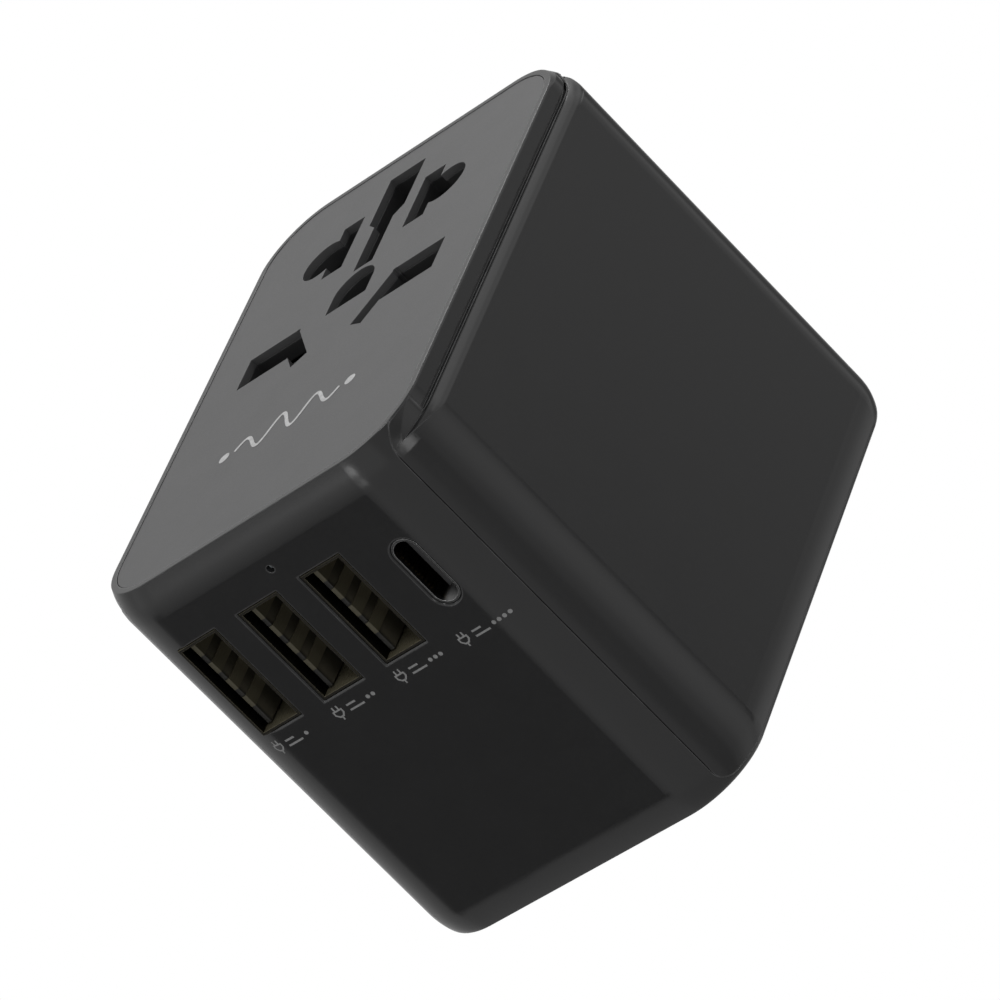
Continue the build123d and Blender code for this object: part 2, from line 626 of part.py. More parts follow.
with BuildPart() as us_retainer:
    bar(span(0, 11.4), span(US_Y, 4.6), (CARRIAGE_TOP, CARRIAGE_TOP + LEAF_T))
    with BuildSketch(Plane.XY.offset(CARRIAGE_TOP)):
        with Locations(*[(side * US_PITCH / 2, US_Y) for side in SIDES]):
            Circle(1.5)
    extrude(amount=LEAF_T, mode=Mode.SUBTRACT)
save(us_retainer, "us_retainer")

HUB_TOP = CARRIAGE_TOP - 0.1
for side, hand in ((-1, "left"), (1, "right")):
    blade_x = side * US_PITCH / 2
    with BuildPart() as us_hub:
        with BuildSketch(Plane.XY.offset(CARRIAGE_Z)):
            with Locations((blade_x, US_Y)):
                Circle(HUB_R)
        extrude(amount=HUB_TOP - CARRIAGE_Z)
        with BuildSketch(Plane.XY.offset(FLANGE_Z)):
            with Locations((blade_x, US_Y)):
                Circle(FLANGE_R)
        extrude(amount=HUB_TOP - FLANGE_Z)
        bar(span(blade_x, BLADE_T / 2 + FIT), span(US_Y, BLADE_W / 2 + FIT), CARRIAGE_SPAN, Mode.SUBTRACT)
        # The slot parts the hub's two halves, which a web across the top joins.
        bar(span(blade_x, BLADE_T), span(US_Y, BLADE_W / 2), (HUB_TOP - 0.6, HUB_TOP))
    save(us_hub, f"us_hub_{hand}")
    with BuildPart() as us_blade:
        bar(span(blade_x, BLADE_T / 2), span(US_Y, BLADE_W / 2), (TIP_Z, HUB_TOP - 0.7))
        tip = us_blade.faces().sort_by(Axis.Z)[0]
        chamfer(tip.edges().filter_by(Axis.X), 1.2)
        chamfer(us_blade.faces().sort_by(Axis.Z)[0].edges().filter_by(Axis.Y), 0.4)
        # Round hole near the tip, as on a standard flat blade.
        with BuildSketch(Plane.YZ.offset(blade_x - BLADE_T)):
            with Locations((US_Y, TIP_Z + 5.4)):
                Circle(1.6)
        extrude(amount=2 * BLADE_T, mode=Mode.SUBTRACT)
    save(us_blade, f"us_blade_{hand}")

with BuildPart() as uk_carriage:
    bar(span(0, CARRIAGE_X), span(UK_Y, 3.4), CARRIAGE_SPAN)
    bar(span(0, 4.0), (UK_Y, UK_EARTH_Y + 4.4), CARRIAGE_SPAN)
    for x in UK_XS:
        bar(span(x, UK_CORE_W / 2 + FIT), span(UK_Y, UK_CORE_T / 2 + FIT), CARRIAGE_SPAN, Mode.SUBTRACT)
    bar(span(0, 1.6 + FIT), span(UK_EARTH_Y, 3.4 + FIT), CARRIAGE_SPAN, Mode.SUBTRACT)
save(uk_carriage, "uk_carriage")

with BuildPart() as uk_line_pins:
    for x in UK_XS:
        bar(span(x, UK_PIN_W / 2), span(UK_Y, UK_PIN_T / 2), (UK_TIP_Z, UK_SLEEVE_Z))
    chamfer(uk_line_pins.edges().group_by(Axis.Z)[0], 0.9)
    for x in UK_XS:
        bar(span(x, UK_CORE_W / 2), span(UK_Y, UK_CORE_T / 2), (UK_SLEEVE_Z, CARRIAGE_TOP))
save(uk_line_pins, "uk_line_pins")

with BuildPart() as uk_sleeves:
    for x in UK_XS:
        sleeve_span = (UK_SLEEVE_Z + FIT, CARRIAGE_Z)
        bar(span(x, UK_PIN_W / 2), span(UK_Y, UK_PIN_T / 2), sleeve_span)
        bar(span(x, UK_CORE_W / 2 + FIT), span(UK_Y, UK_CORE_T / 2 + FIT), sleeve_span, Mode.SUBTRACT)
save(uk_sleeves, "uk_sleeves")

with BuildPart() as uk_earth_pin:
    bar(span(0, UK_EARTH_T / 2), span(UK_EARTH_Y, UK_EARTH_W / 2), (TIP_Z, CARRIAGE_Z))
    chamfer(uk_earth_pin.edges().group_by(Axis.Z)[0], 1.0)
    bar(span(0, 1.6), span(UK_EARTH_Y, 3.4), CARRIAGE_SPAN)
save(uk_earth_pin, "uk_earth_pin")

with BuildPart() as earth_wiper:
    bar((1.0, 4.45), (24.2, 26.0), (CARRIAGE_TOP, CARRIAGE_TOP + LEAF_T))
    bar((4.0 + FIT, 4.45), (24.2, 26.0), (CARRIAGE_Z + 0.5, CARRIAGE_TOP))
save(earth_wiper, "earth_wiper")


# ---- charging ports -----------------------------------------------------------------------------
with BuildPart() as usb_board:
    bar((-19.0, 18.6), (BOARD_Y, BOARD_Y + BOARD_T), (32.6, 50.0))
save(usb_board, "usb_board")

for number, port_x in enumerate(USB_A_XS, 1):
    with BuildPart() as usb_a_shell:
        bar(span(port_x, USB_A_W / 2), (PORT_FRONT, BOARD_Y), span(PORT_Z, USB_A_H / 2))
        bar(
            span(port_x, USB_A_W / 2 - SHEET),
            (PORT_FRONT, BOARD_Y - SHEET),
            span(PORT_Z, USB_A_H / 2 - SHEET),
            Mode.SUBTRACT,
        )
    save(usb_a_shell, f"usb_a{number}_shell")
    with BuildPart() as usb_a_tongue:
        bar(
            span(port_x, USB_A_W / 2 - SHEET - FIT),
            (BOARD_Y - 4.0, BOARD_Y - SHEET - FIT),
            span(PORT_Z, USB_A_H / 2 - SHEET - FIT),
        )
        bar(
            (port_x + TONGUE_X[0], port_x + TONGUE_X[1]),
            (TONGUE_FRONT, BOARD_Y - 4.0),
            span(PORT_Z, TONGUE_Z),
        )
    save(usb_a_tongue, f"usb_a{number}_tongue")

# Contact strips on the tongues, each bent over the tongue's front edge.
with BuildPart() as usb_a_contacts:
    for port_x in USB_A_XS:
        strip_x = port_x + TONGUE_X[1] + FIT
        for offset_z in USB_A_CONTACTS:
            strip_z = span(PORT_Z + offset_z, STRIP_W / 2)
            bar((strip_x, strip_x + STRIP_T), (TONGUE_FRONT - FIT - STRIP_T, BOARD_Y - 4.0 - FIT), strip_z)
            bar(
                (port_x + TONGUE_X[0] + STRIP_T, strip_x),
                (TONGUE_FRONT - FIT - STRIP_T, TONGUE_FRONT - FIT),
                strip_z,
            )
save(usb_a_contacts, "usb_a_contacts")

USB_C_BACK = BOARD_Y - 2.0


def usb_c_slot(y, shrink):
    """Stadium section of the small port at depth y."""
    with BuildSketch(Plane.XZ.offset(-y)) as slot:
        with Locations((USB_C_X, PORT_Z)):
            SlotOverall(USB_C_H - 2 * shrink, USB_C_W - 2 * shrink, rotation=90)
    return slot.sketch


with BuildPart() as usb_c_shell:
    extrude(usb_c_slot(PORT_FRONT, 0), amount=PORT_FRONT - BOARD_Y)
    extrude(usb_c_slot(PORT_FRONT, USB_C_SHEET), amount=PORT_FRONT - USB_C_BACK, mode=Mode.SUBTRACT)
save(usb_c_shell, "usb_c_shell")

with BuildPart() as usb_c_tongue:
    extrude(usb_c_slot(USB_C_BACK - FIT, USB_C_SHEET + FIT), amount=4.0)
    bar(span(USB_C_X, 0.35), (USB_C_TONGUE_FRONT, USB_C_BACK - 3.9), span(PORT_Z, 3.35))
save(usb_c_tongue, "usb_c_tongue")

with BuildPart() as usb_c_contacts:
    for side in SIDES:
        for index in range(12):
            bar(
                span(USB_C_X + side * 0.42, 0.05),
                (USB_C_TONGUE_FRONT + 0.4, USB_C_BACK - 4.1),
                span(PORT_Z + 0.5 * (index - 5.5), 0.13),
            )
save(usb_c_contacts, "usb_c_contacts")

with BuildPart() as light_pipe:
    with BuildSketch(Plane.XZ.offset(BODY_Y / 2 - 0.7)):
        with Locations((LAMP_X, LAMP_Z)):
            Circle(LAMP_R - RUN)
    extrude(amount=-11.6)
save(light_pipe, "light_pipe")

with BuildPart() as indicator_led:
    bar(span(LAMP_X, 0.8), (BOARD_Y - 2.0, BOARD_Y), span(LAMP_Z, 0.8))
save(indicator_led, "indicator_led")


# ---- power supply -------------------------------------------------------------------------------
BACK_Y = BOARD_Y + BOARD_T
LEG_X = (-2.5, 1.5)

with BuildPart() as transformer_core:
    bar((-8.0, 7.0), (-17.0, -11.0), (38.6, 49.0))
    for window in ((-6.0, LEG_X[0]), (LEG_X[1], 5.0)):
        bar(window, (-17.0, -11.0), (40.6, 47.0), Mode.SUBTRACT)
save(transformer_core, "transformer_core")

with BuildPart() as transformer_coil:
    bar((-5.9, 4.9), (-18.6, -9.4), (40.8, 46.8))
    bar((LEG_X[0] - 0.1, LEG_X[1] + 0.1), (-17.1, -10.9), (40.8, 46.8), Mode.SUBTRACT)
    uprights = transformer_coil.edges().filter_by(Axis.Z).group_by(Axis.Y)
    fillet(uprights[0] + uprights[-1], 0.5)
save(transformer_coil, "transformer_coil")


def can(x, y, z, radius):
    """An upright electrolytic can with a rolled top edge, between two heights."""
    with BuildPart() as piece:
        with BuildSketch(Plane.XY.offset(z[0])):
            with Locations((x, y)):
                Circle(radius)
        extrude(amount=z[1] - z[0])
        fillet(piece.edges().group_by(Axis.Z)[-1], 0.5)
    return piece.part


with BuildPart() as input_capacitor:
    add(can(14.4, -13.8, (34.0, 48.0), CAN_R))
save(input_capacitor, "input_capacitor")

with BuildPart() as output_capacitors:
    for y in (-15.2, -8.9):
        add(can(-13.5, y, (35.0, 45.0), SMALL_CAN_R))
save(output_capacitors, "output_capacitors")

with BuildPart() as controller_chip:
    bar((-17.0, -11.0), (BACK_Y, BACK_Y + 1.2), (45.8, 49.6))
save(controller_chip, "controller_chip")

with BuildPart() as rectifier:
    bar((-8.0, -1.0), (BACK_Y, BACK_Y + 3.0), (33.5, 37.5))
save(rectifier, "rectifier")

with BuildPart() as inductor:
    with Locations(Location((5.0, BACK_Y + 1.3, 35.6), (90, 0, 0))):
        Torus(1.9, 1.0)
save(inductor, "inductor")

with BuildPart() as fuse:
    with BuildSketch(Plane.YZ.offset(-10.0)):
        with Locations((FUSE_Y, FUSE_Z)):
            Circle(FUSE_R)
    extrude(amount=20.0)
    fillet(fuse.edges(), 0.3)
save(fuse, "fuse")

with BuildPart() as fuse_clips:
    for side in SIDES:
        bar(span(side * 8.5, 0.9), span(FUSE_Y, FUSE_R + 0.35), (FRAME_Z + FRAME_T + RUN, FUSE_Z + 1.2))
    with BuildSketch(Plane.YZ.offset(-12.0)):
        with Locations((FUSE_Y, FUSE_Z)):
            Circle(FUSE_R + FIT)
    extrude(amount=24.0, mode=Mode.SUBTRACT)
save(fuse_clips, "fuse_clips")


def wire(*points):
    """An insulated wire along a smooth curve through its points."""
    with BuildPart() as piece:
        with BuildLine():
            path = Spline(*points)
        with BuildSketch(Plane(path @ 0, z_dir=path % 0)):
            Circle(0.6)
        sweep()
    return piece.part


with BuildPart() as mains_wires:
    add(wire((18.1, -7.3, 34.6), (14.5, -7.4, 34.8), (10.8, -9.2, 35.6)))
    add(wire((-18.1, -7.3, 34.6), (-17.8, -12.0, 39.0), (-17.6, -18.0, 43.4)))
save(mains_wires, "mains_wires")
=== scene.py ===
"""Looks of the universal travel adapter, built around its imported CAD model."""
import json
import math

import bmesh
import bpy
from mathutils import Matrix, Vector


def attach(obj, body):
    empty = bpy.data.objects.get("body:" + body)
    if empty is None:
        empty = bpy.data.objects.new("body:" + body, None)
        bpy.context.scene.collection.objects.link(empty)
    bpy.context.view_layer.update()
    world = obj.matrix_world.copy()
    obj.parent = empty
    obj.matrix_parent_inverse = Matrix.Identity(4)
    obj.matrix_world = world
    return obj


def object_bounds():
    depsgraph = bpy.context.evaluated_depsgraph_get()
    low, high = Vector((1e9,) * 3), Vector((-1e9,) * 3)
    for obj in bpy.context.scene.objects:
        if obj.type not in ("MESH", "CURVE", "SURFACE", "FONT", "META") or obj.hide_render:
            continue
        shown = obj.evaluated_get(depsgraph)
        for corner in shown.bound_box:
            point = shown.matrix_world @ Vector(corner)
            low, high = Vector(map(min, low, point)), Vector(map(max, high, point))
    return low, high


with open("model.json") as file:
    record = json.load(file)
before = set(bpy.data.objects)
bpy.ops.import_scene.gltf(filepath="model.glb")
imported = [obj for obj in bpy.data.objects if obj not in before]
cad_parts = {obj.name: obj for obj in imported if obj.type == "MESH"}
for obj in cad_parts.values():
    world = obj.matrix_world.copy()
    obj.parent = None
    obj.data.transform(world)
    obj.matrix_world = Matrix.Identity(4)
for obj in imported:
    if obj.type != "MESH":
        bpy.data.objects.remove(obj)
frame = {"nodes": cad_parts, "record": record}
cad_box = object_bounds()
MM = 0.001
NODES = frame["nodes"]

low, high = cad_box
HEIGHT = high.z
TONGUE_FRONT = -33.9 * MM
TAPE_WIDTH = 2.0 * MM


# ---- node trees ---------------------------------------------------------------------------------
class Nodes:
    """Short calls that build a node tree."""

    def __init__(self, tree):
        self.tree = tree

    def add(self, kind, inputs=(), **settings):
        node = self.tree.nodes.new(kind)
        for key, value in settings.items():
            setattr(node, key, value)
        for key, value in dict(inputs).items():
            self.feed(node.inputs[key], value)
        return node

    def feed(self, socket, value):
        if isinstance(value, bpy.types.NodeSocket):
            self.tree.links.new(value, socket)
        else:
            socket.default_value = value

    def math(self, operation, *values):
        return self.add("ShaderNodeMath", enumerate(values), operation=operation).outputs[0]

    def remap(self, value, start, end, to_start, to_end):
        """Value remapped smoothly from one range to another."""
        node = self.add(
            "ShaderNodeMapRange",
            {"Value": value, "From Min": start, "From Max": end, "To Min": to_start, "To Max": to_end},
            interpolation_type="SMOOTHSTEP",
        )
        return node.outputs["Result"]

    def mix_shaders(self, factor, a, b):
        return self.add("ShaderNodeMixShader", {0: factor, 1: a, 2: b}).outputs[0]


class Graph(Nodes):
    """A material and short calls that build its look."""

    def __init__(self, name):
        self.material = bpy.data.materials.new(name)
        self.material.use_nodes = True
        super().__init__(self.material.node_tree)
        self.shader = self.tree.nodes["Principled BSDF"]
        self.place = self.add("ShaderNodeTexCoord").outputs["Object"]

    def along(self, axis):
        """Object coordinate on one axis."""
        return self.add("ShaderNodeSeparateXYZ", {0: self.place}).outputs[axis]

    def stretch(self, scale):
        """Object coordinates scaled on each axis, for grain that runs one way."""
        return self.add("ShaderNodeVectorMath", {0: self.place, 1: scale}, operation="MULTIPLY").outputs[0]

    def noise(self, size, detail=2.0, place=None):
        """Noise whose features are about a size across, in metres."""
        node = self.add(
            "ShaderNodeTexNoise", {"Vector": place or self.place, "Scale": 1.0 / size, "Detail": detail}
        )
        return node.outputs["Fac"]

    def mix(self, factor, a, b):
        node = self.add("ShaderNodeMix", data_type="RGBA")
        self.feed(node.inputs["Factor"], factor)
        for socket, value in ((node.inputs[6], a), (node.inputs[7], b)):
            self.feed(socket, value if isinstance(value, bpy.types.NodeSocket) else (*value, 1.0))
        return node.outputs[2]

    def soft_edges(self, radius):
        """Normal rounded over the edges, and how near an edge a point is, from 0 to 1."""
        rounded = self.add("ShaderNodeBevel", {"Radius": radius}, samples=6).outputs[0]
        flat = self.add("ShaderNodeNewGeometry").outputs["Normal"]
        likeness = self.add("ShaderNodeVectorMath", {0: rounded, 1: flat}, operation="DOT_PRODUCT")
        return rounded, self.remap(likeness.outputs["Value"], 1.0, 0.8, 0.0, 1.0)

    def bump(self, height, distance, strength=1.0, normal=None):
        node = self.add("ShaderNodeBump", {"Height": height, "Distance": distance, "Strength": strength})
        if normal is not None:
            self.feed(node.inputs["Normal"], normal)
        return node.outputs["Normal"]

    def finish(self, **inputs):
        for key, value in inputs.items():
            socket = self.shader.inputs[key.replace("_", " ")]
            is_colour = socket.type == "RGBA" and not isinstance(value, bpy.types.NodeSocket)
            self.feed(socket, (*value, 1.0) if is_colour else value)
        return self.material


def scaled(colour, factor):
    """Colour made darker or paler by a factor."""
    return tuple(channel * factor for channel in colour)


def moulded_plastic(
    name,
    colour,
    roughness,
    grain=0.22 * MM,
    depth=0.004 * MM,
    edge=0.22 * MM,
    wear_and_highlight_amount=0.35,
    cloudy=1.0,
    wear_and_highlight_gain=1.9,
):
    """Moulded plastic: a spark-eroded grain, faint handling marks and edges rubbed shinier and paler, the
    paler edge colour being partly wear and partly a painted highlight that grows with its gain.
    """
    graph = Graph(name)
    rounded, edges = graph.soft_edges(edge)
    cloud = graph.noise(9 * MM, 3.0)
    fine = graph.noise(grain, 2.0)
    rubbed_and_highlit_edges = graph.math("MULTIPLY", edges, graph.remap(graph.noise(2.5 * MM, 3.0), 0.35, 0.7, 0.3, 1.0))
    base = graph.mix(cloud, scaled(colour, 1 - 0.1 * cloudy), scaled(colour, 1 + 0.12 * cloudy))
    # Paler edges: partly rubbed wear, and at a high gain a painted highlight along the edges.
    base = graph.mix(graph.math("MULTIPLY", rubbed_and_highlit_edges, wear_and_highlight_amount), base, scaled(colour, wear_and_highlight_gain))
    drift = 0.035 * cloudy
    rough = graph.remap(graph.noise(5 * MM, 4.0), 0.3, 0.75, roughness - drift, roughness + drift)
    rough = graph.math("ADD", rough, graph.remap(fine, 0.3, 0.7, -0.02, 0.02))
    rough = graph.math("SUBTRACT", rough, graph.math("MULTIPLY", rubbed_and_highlit_edges, 0.06))
    return graph.finish(
        Base_Color=base, Roughness=rough, Specular_IOR_Level=0.5, Normal=graph.bump(fine, depth, 1.0, rounded)
    )


def plated_metal(name, colour, roughness, run=(1.0, 1.0, 0.08), edge=0.1 * MM, tarnish=0.3):
    """Plated metal: drawing marks along one axis, a light tarnish and polished edges."""
    graph = Graph(name)
    rounded, edges = graph.soft_edges(edge)
    lines = graph.noise(0.12 * MM, 2.0, graph.stretch(run))
    stain = graph.remap(graph.noise(1.6 * MM, 4.0), 0.4, 0.75, 0.0, 1.0)
    base = graph.mix(graph.math("MULTIPLY", stain, tarnish), colour, scaled(colour, 0.55))
    base = graph.mix(graph.math("MULTIPLY", edges, 0.5), base, scaled(colour, 1.15))
    rough = graph.remap(lines, 0.3, 0.7, roughness - 0.05, roughness + 0.08)
    rough = graph.math("ADD", rough, graph.math("MULTIPLY", stain, 0.12))
    return graph.finish(
        Base_Color=base, Metallic=1.0, Roughness=rough, Normal=graph.bump(lines, 0.003 * MM, 0.6, rounded)
    )


def port_shell(name, sheet, ends, roughness):
    """Drawn shell of a port: dark polished sheet, with its two short ends painted duller and paler, a painted
    highlight on the faces that point along Z.
    """
    graph = Graph(name)
    rounded, edges = graph.soft_edges(0.07 * MM)
    lines = graph.noise(0.12 * MM, 2.0, graph.stretch((1.0, 0.08, 1.0)))
    normal = graph.add("ShaderNodeTexCoord").outputs["Normal"]
    facing = graph.add("ShaderNodeSeparateXYZ", {0: normal}).outputs["Z"]
    # Painted highlight: faces pointing along Z, the short ends, are painted paler and less metallic.
    painted_end_highlight = graph.remap(graph.math("ABSOLUTE", facing), 0.5, 0.95, 0.0, 1.0)
    base = graph.mix(painted_end_highlight, sheet, ends)
    base = graph.mix(graph.math("MULTIPLY", lines, 0.3), base, scaled(sheet, 0.7))
    base = graph.mix(graph.math("MULTIPLY", edges, 0.5), base, scaled(ends, 1.6))
    return graph.finish(
        Base_Color=base,
        Metallic=graph.remap(painted_end_highlight, 0.0, 1.0, 1.0, 0.5),
        Roughness=graph.remap(lines, 0.3, 0.7, roughness - 0.04, roughness + 0.08),
        Normal=graph.bump(lines, 0.003 * MM, 0.6, rounded),
    )


def strips_with_painted_inward_light():
    """Contact strips: painted light, dark at the mouth and brighter further into the port, to stand in for
    the light that reaches their inner parts.
    """
    graph = Graph("strips_with_painted_inward_light")
    rounded, _ = graph.soft_edges(0.05 * MM)
    # Painted light: the colour brightens from the mouth inward.
    inward = graph.remap(graph.along("Y"), TONGUE_FRONT, TONGUE_FRONT + 6.9 * MM, 0.0, 1.0)
    lines = graph.noise(0.15 * MM, 2.0, graph.stretch((1.0, 0.1, 1.0)))
    base = graph.mix(inward, (0.075, 0.068, 0.044), (0.5, 0.44, 0.3))
    base = graph.mix(graph.math("MULTIPLY", lines, 0.4), base, (0.06, 0.052, 0.034))
    rough = graph.remap(lines, 0.3, 0.7, 0.38, 0.52)
    return graph.finish(
        Base_Color=base, Metallic=0.35, Roughness=rough, Normal=graph.bump(lines, 0.003 * MM, 0.6, rounded)
    )


def dark_front_resin():
    """Moulded tongue of a port: black at its front edge and a dull olive further in."""
    graph = Graph("dark_front_resin")
    rounded, _ = graph.soft_edges(0.06 * MM)
    inward = graph.remap(graph.along("Y"), TONGUE_FRONT + 0.05 * MM, TONGUE_FRONT + 0.6 * MM, 0.0, 1.0)
    haze = graph.noise(0.5 * MM, 3.0)
    base = graph.mix(inward, (0.004, 0.004, 0.0035), (0.055, 0.049, 0.034))
    base = graph.mix(graph.math("MULTIPLY", haze, 0.5), base, (0.03, 0.027, 0.02))
    return graph.finish(
        Base_Color=base,
        Roughness=graph.remap(haze, 0.3, 0.7, 0.4, 0.55),
        Normal=graph.bump(haze, 0.004 * MM, 1.0, rounded),
    )


def solder_mask():
    """Circuit board: green mask over copper traces and the weave of the laminate."""
    graph = Graph("solder_mask_board")
    cells = graph.add(
        "ShaderNodeTexBrick",
        {
            "Vector": graph.place,
            "Scale": 260.0,
            "Mortar Size": 0.03,
            "Color1": (0, 0, 0, 1),
            "Color2": (1, 1, 1, 1),
        },
    ).outputs["Color"]
    weave = graph.noise(0.5 * MM, 2.0)
    copper = graph.remap(graph.noise(1.4 * MM, 0.0), 0.5, 0.53, 0.0, 1.0)
    base = graph.mix(copper, (0.006, 0.05, 0.022), (0.02, 0.12, 0.045))
    base = graph.mix(graph.math("MULTIPLY", weave, 0.25), base, (0.01, 0.03, 0.015))
    height = graph.math("ADD", copper, graph.math("MULTIPLY", cells, 0.15))
    return graph.finish(Base_Color=base, Roughness=0.32, Normal=graph.bump(height, 0.02 * MM))


def sintered(name, colour, roughness):
    """Sintered ceramic or ferrite: coarse pores and dusty patches."""
    graph = Graph(name)
    rounded, edges = graph.soft_edges(0.25 * MM)
    pores = graph.noise(0.35 * MM, 4.0)
    base = graph.mix(graph.remap(pores, 0.35, 0.7, 0.0, 1.0), scaled(colour, 0.75), scaled(colour, 1.15))
    base = graph.mix(graph.math("MULTIPLY", edges, 0.4), base, scaled(colour, 1.5))
    return graph.finish(
        Base_Color=base,
        Roughness=graph.remap(pores, 0.3, 0.7, roughness, roughness + 0.15),
        Normal=graph.bump(pores, 0.02 * MM, 1.0, rounded),
    )


def wound_tape():
    """Insulating tape wound in overlapping turns."""
    graph = Graph("wound_tape")
    turns = graph.math("FRACT", graph.math("MULTIPLY", graph.along("Z"), 1.0 / TAPE_WIDTH))
    lap = graph.remap(turns, 0.88, 1.0, 0.0, 1.0)
    base = graph.mix(lap, (0.72, 0.5, 0.05), (0.42, 0.26, 0.02))
    crease = graph.noise(0.8 * MM, 3.0, graph.stretch((0.3, 0.3, 1.0)))
    base = graph.mix(graph.math("MULTIPLY", crease, 0.3), base, (0.5, 0.32, 0.03))
    relief = graph.math("ADD", turns, graph.math("MULTIPLY", crease, 0.5))
    return graph.finish(Base_Color=base, Roughness=0.28, Normal=graph.bump(relief, 0.04 * MM))


def clear_lens():
    """Clear moulding with faint flow lines."""
    graph = Graph("clear_lens")
    flow = graph.noise(0.6 * MM, 2.0, graph.stretch((1.0, 0.2, 1.0)))
    return graph.finish(
        Base_Color=graph.mix(flow, (0.75, 0.82, 0.88), (0.9, 0.94, 0.96)),
        Roughness=graph.remap(flow, 0.3, 0.7, 0.06, 0.16),
        Transmission_Weight=0.7,
        IOR=1.49,
        Normal=graph.bump(flow, 0.01 * MM),
    )


def printed_ink(name, colour):
    """Pad-printed ink, slightly uneven in cover."""
    graph = Graph(name)
    cover = graph.noise(0.3 * MM, 3.0)
    patches = graph.remap(cover, 0.3, 0.7, 0.0, 1.0)
    return graph.finish(
        Base_Color=graph.mix(patches, scaled(colour, 0.8), scaled(colour, 1.05)),
        Roughness=graph.remap(cover, 0.3, 0.7, 0.45, 0.6),
        Normal=graph.bump(cover, 0.004 * MM),
    )


BLACK = (0.011, 0.011, 0.0112)
FACE_GREY = (0.062, 0.062, 0.063)
INNER_BLACK = (0.014, 0.014, 0.0145)
SLEEVE_BLACK = (0.018, 0.018, 0.018)
SLOT_MATERIALS = {
    # The housing's edges get a high gain: a strong painted highlight along its rims and edges.
    "housing_plastic": moulded_plastic("satin_housing", BLACK, 0.17, wear_and_highlight_amount=0.65, cloudy=0.3, wear_and_highlight_gain=14.0),
    "face_grey": moulded_plastic("satin_face", FACE_GREY, 0.36, grain=0.16 * MM, edge=0.08 * MM, cloudy=0.25),
    "inner_plastic": moulded_plastic("inner_moulding", INNER_BLACK, 0.48, grain=0.3 * MM, depth=0.01 * MM),
    "pin_sleeve": moulded_plastic("pin_sleeve", SLEEVE_BLACK, 0.42, grain=0.25 * MM, depth=0.006 * MM),
    "pin_metal": plated_metal("nickel_pin", (0.66, 0.65, 0.62), 0.22, edge=0.15 * MM, tarnish=0.12),
    "contact_brass": plated_metal("gilt_contact", (0.62, 0.44, 0.2), 0.3),
    "port_steel": port_shell("port_steel", (0.035, 0.033, 0.028), (0.19, 0.172, 0.115), 0.3),
    "screw_steel": plated_metal("zinc_steel", (0.42, 0.42, 0.43), 0.32, run=(1.0, 1.0, 1.0)),
    "board_green": solder_mask(),
    "can_aluminium": plated_metal("can_sleeve", (0.45, 0.46, 0.48), 0.36),
    "core_ferrite": sintered("ferrite", (0.035, 0.035, 0.038), 0.55),
    "coil_tape": wound_tape(),
    "lamp_clear": clear_lens(),
    "fuse_ceramic": sintered("ceramic_tube", (0.72, 0.7, 0.64), 0.4),
    "wire_insulation": moulded_plastic("wire_insulation", (0.3, 0.02, 0.015), 0.4, grain=0.4 * MM, wear_and_highlight_amount=0.1),
}
tongue_resin = dark_front_resin()
NODE_MATERIALS = {
    "usb_a_contacts": strips_with_painted_inward_light(),
    "usb_a1_tongue": tongue_resin,
    "usb_a2_tongue": tongue_resin,
    "usb_a3_tongue": tongue_resin,
    "usb_c_shell": port_shell("bright_shell", (0.16, 0.16, 0.16), (0.5, 0.5, 0.5), 0.16),
}
for subpart in frame["record"]["subparts"]:
    name = subpart["node"]
    NODES[name].data.materials.clear()
    NODES[name].data.materials.append(NODE_MATERIALS.get(name) or SLOT_MATERIALS[subpart["material_slot"]])


# ---- printed marks ------------------------------------------------------------------------------
# Outlines of marks are in millimetres on their face, and places of marks in metres in the frame.
INK_T = 0.02 * MM
STROKE_STEP = 0.3
PORT_SIDE = -35.1 * MM
PORT_MARK_Z = 30.3 * MM
PORT_XS = [x * MM for x in (-14.6, -5.3, 4.0, 13.3)]
PORT_LINE, PORT_BAR, PORT_DOT_R = 0.2, 0.24, 0.26
EMBLEM_PLACE = Vector((-0.8 * MM, -15.7 * MM, HEIGHT - 0.05 * MM))
EMBLEM_LENGTH, EMBLEM_SWING, EMBLEM_TURNS, EMBLEM_LINE = 16.0, 1.9, 3, 0.5
EMBLEM_DOT_X, EMBLEM_DOT_R = 9.6, 0.75
CORNER_START, CORNER_R = 14.9 * MM, 8.8 * MM


def stepped(points, closed):
    """Points of a line with more between them, so that none are further apart than a step."""
    ends = points[1:] + points[:1] if closed else points[1:]
    result = []
    for start, end in zip(points, ends):
        count = math.ceil((end - start).length / STROKE_STEP)
        result += [start.lerp(end, index / count) for index in range(count)]
    return result if closed else result + points[-1:]


def stroke(points, width, closed=False):
    """Outlines that cover a line of some width through points, mitred at the joints."""
    points = stepped([Vector(point) for point in points], closed)
    count = len(points)
    edges = []
    for index, point in enumerate(points):
        before = points[index - 1] if closed or index else point
        after = points[(index + 1) % count] if closed or index < count - 1 else point
        inward = (point - before).normalized()
        outward = (after - point).normalized()
        across = (inward + outward).orthogonal().normalized()
        lean = max(across.dot((outward if index == 0 else inward).orthogonal()), 0.5)
        edges.append((point - across * (width / 2 / lean), point + across * (width / 2 / lean)))
    pairs = list(zip(edges, edges[1:])) + ([(edges[-1], edges[0])] if closed else [])
    return [[a[0], b[0], b[1], a[1]] for a, b in pairs]


def disc(middle, radius, sides=14):
    turns = [math.tau * index / sides for index in range(sides)]
    return [Vector((middle[0] + radius * math.cos(t), middle[1] + radius * math.sin(t))) for t in turns]


def corner_fall(x):
    """How far the port side falls away where it rounds into a corner."""
    past = max(abs(x) - CORNER_START, 0.0)
    return CORNER_R - math.sqrt(CORNER_R**2 - past**2)


